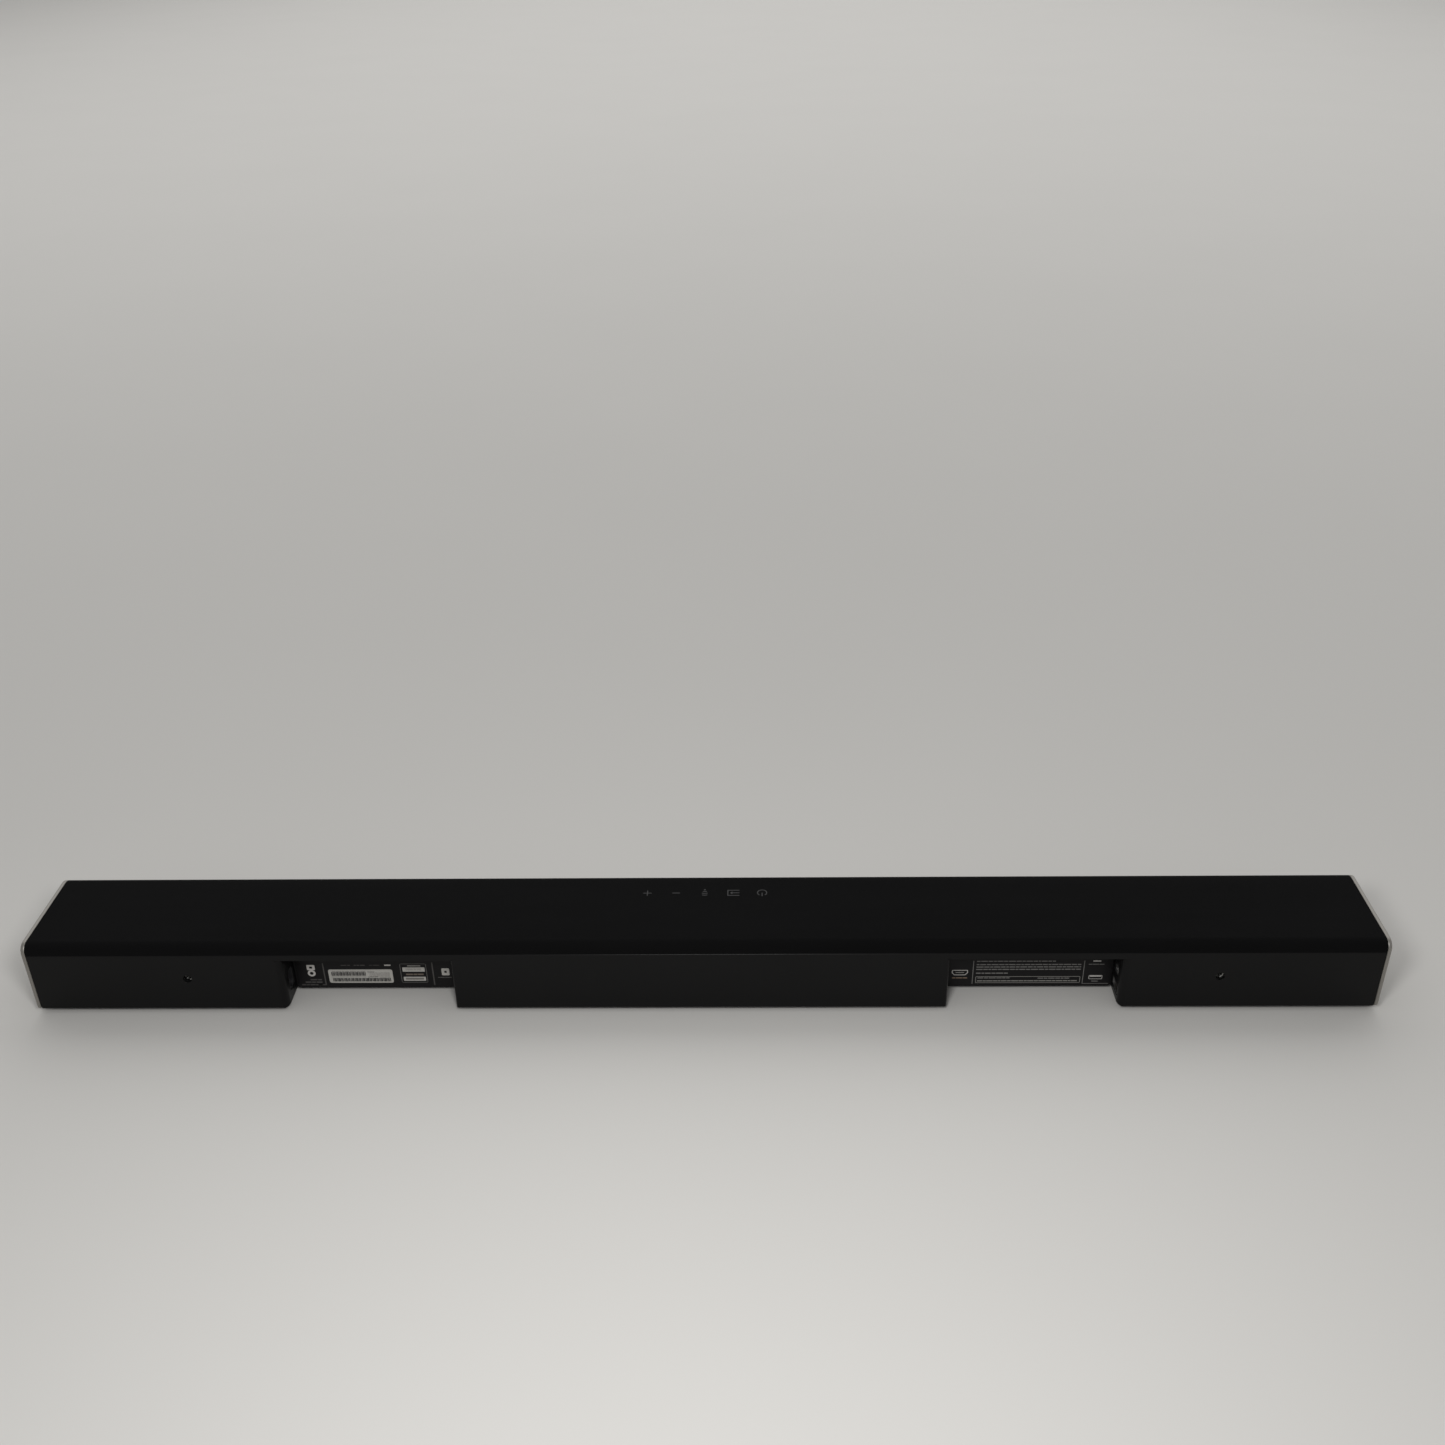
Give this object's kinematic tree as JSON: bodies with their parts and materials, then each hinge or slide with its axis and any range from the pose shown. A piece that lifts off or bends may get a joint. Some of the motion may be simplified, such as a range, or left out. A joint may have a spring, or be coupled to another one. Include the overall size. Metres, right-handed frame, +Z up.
{
  "type": "soundbar",
  "caption": "Slim television soundbar with a cloth-wrapped grille over its front and top, silver end plates, top keys and two connector bays cut into the rear and underside.",
  "frame": {"origin": "middle of the plane that the feet stand on, under the centre of the bar", "axes": "+X along the bar to the listener's right, -Y out of the grille towards the listener, +Y out of the connector side, +Z up"},
  "size_m": [0.9144, 0.0812, 0.0579],
  "materials": {
    "grille_cloth": "black woven acoustic cloth",
    "key_cloth": "black woven acoustic cloth over a plastic cap",
    "housing_plastic": "satin moulded black",
    "inner_plastic": "moulded dark grey",
    "end_plate_silver": "satin warm silver",
    "foot_rubber": "matt black",
    "label_film": "printed dark film",
    "circuit_board": "green solder mask",
    "socket_steel": "plated steel",
    "basket_steel": "black coated pressed steel",
    "motor_ferrite": "dark ferrite and plated plates",
    "cone_paper": "treated black paper",
    "surround_rubber": "matt black",
    "insert_nickel": "knurled brass, nickel plated",
    "sink_aluminium": "extruded aluminium",
    "transformer_core": "ferrite core and taped winding",
    "component_case": "dark sleeve",
    "lead_sheath": "black lead sheath"
  },
  "bodies": {
    "root": {"ac_inlet": "inner_plastic", "av_socket": "socket_steel", "chamber_wall_left": "inner_plastic", "chamber_wall_right": "inner_plastic", "end_cap_left": "inner_plastic", "end_cap_right": "inner_plastic", "end_plate_left": "end_plate_silver", "end_plate_right": "end_plate_silver", "foot_front_left": "foot_rubber", "foot_front_right": "foot_rubber", "foot_rear_left": "foot_rubber", "foot_rear_right": "foot_rubber", "front_baffle": "inner_plastic", "front_grille_frame": "inner_plastic", "grille_cloth": "grille_cloth", "heat_sink": "sink_aluminium", "indicator_board": "circuit_board", "inner_left_basket": "basket_steel", "inner_left_magnet": "motor_ferrite", "inner_left_surround": "surround_rubber", "inner_right_basket": "basket_steel", "inner_right_magnet": "motor_ferrite", "inner_right_surround": "surround_rubber", "input_board": "circuit_board", "key_board": "circuit_board", "key_mat": "foot_rubber", "line_socket": "inner_plastic", "main_board": "circuit_board", "main_capacitor": "component_case", "mains_lead": "lead_sheath", "optical_socket": "inner_plastic", "outer_left_basket": "basket_steel", "outer_left_magnet": "motor_ferrite", "outer_left_surround": "surround_rubber", "outer_right_basket": "basket_steel", "outer_right_magnet": "motor_ferrite", "outer_right_surround": "surround_rubber", "power_board": "circuit_board", "radio_module": "socket_steel", "rear_housing": "housing_plastic", "remote_sensor": "component_case", "service_board": "circuit_board", "service_socket": "socket_steel", "socket_label_left": "label_film", "socket_label_right": "label_film", "speaker_harness": "lead_sheath", "top_grille_frame": "inner_plastic", "transformer": "transformer_core", "wall_insert_left": "insert_nickel", "wall_insert_right": "insert_nickel"},
    "key_input": {"key_input": "key_cloth"},
    "key_power": {"key_power": "key_cloth"},
    "key_volume_down": {"key_volume_down": "key_cloth"},
    "key_volume_up": {"key_volume_up": "key_cloth"},
    "key_wireless": {"key_wireless": "key_cloth"},
    "inner_left_cone": {"inner_left_cone": "cone_paper"},
    "inner_right_cone": {"inner_right_cone": "cone_paper"},
    "outer_left_cone": {"outer_left_cone": "cone_paper"},
    "outer_right_cone": {"outer_right_cone": "cone_paper"},
    "optical_shutter": {"optical_shutter": "inner_plastic"}
  },
  "joints": [
    {"name": "press_input", "type": "slide", "parent": "root", "child": "key_input", "axis": [0, 0, -1], "range_m": [0, 0.0006], "stiffness_N_per_m": 2500},
    {"name": "press_power", "type": "slide", "parent": "root", "child": "key_power", "axis": [0, 0, -1], "range_m": [0, 0.0006], "stiffness_N_per_m": 2500},
    {"name": "press_volume_down", "type": "slide", "parent": "root", "child": "key_volume_down", "axis": [0, 0, -1], "range_m": [0, 0.0006], "stiffness_N_per_m": 2500},
    {"name": "press_volume_up", "type": "slide", "parent": "root", "child": "key_volume_up", "axis": [0, 0, -1], "range_m": [0, 0.0006], "stiffness_N_per_m": 2500},
    {"name": "press_wireless", "type": "slide", "parent": "root", "child": "key_wireless", "axis": [0, 0, -1], "range_m": [0, 0.0006], "stiffness_N_per_m": 2500},
    {"name": "inner_left_excursion", "type": "slide", "parent": "root", "child": "inner_left_cone", "axis": [0, -1, 0], "range_m": [-0.002, 0.002], "stiffness_N_per_m": 1250, "deforming": ["inner_left_surround"]},
    {"name": "inner_right_excursion", "type": "slide", "parent": "root", "child": "inner_right_cone", "axis": [0, -1, 0], "range_m": [-0.002, 0.002], "stiffness_N_per_m": 1250, "deforming": ["inner_right_surround"]},
    {"name": "outer_left_excursion", "type": "slide", "parent": "root", "child": "outer_left_cone", "axis": [0, -1, 0], "range_m": [-0.002, 0.002], "stiffness_N_per_m": 1250, "deforming": ["outer_left_surround"]},
    {"name": "outer_right_excursion", "type": "slide", "parent": "root", "child": "outer_right_cone", "axis": [0, -1, 0], "range_m": [-0.002, 0.002], "stiffness_N_per_m": 1250, "deforming": ["outer_right_surround"]},
    {"name": "shutter_swing", "type": "hinge", "parent": "root", "child": "optical_shutter", "pos_m": [0.1657, 0.0284, 0.021], "axis": [0, 1, 0], "range_deg": [0, 80], "stiffness_Nm_per_rad": 0.0001}
  ]
}
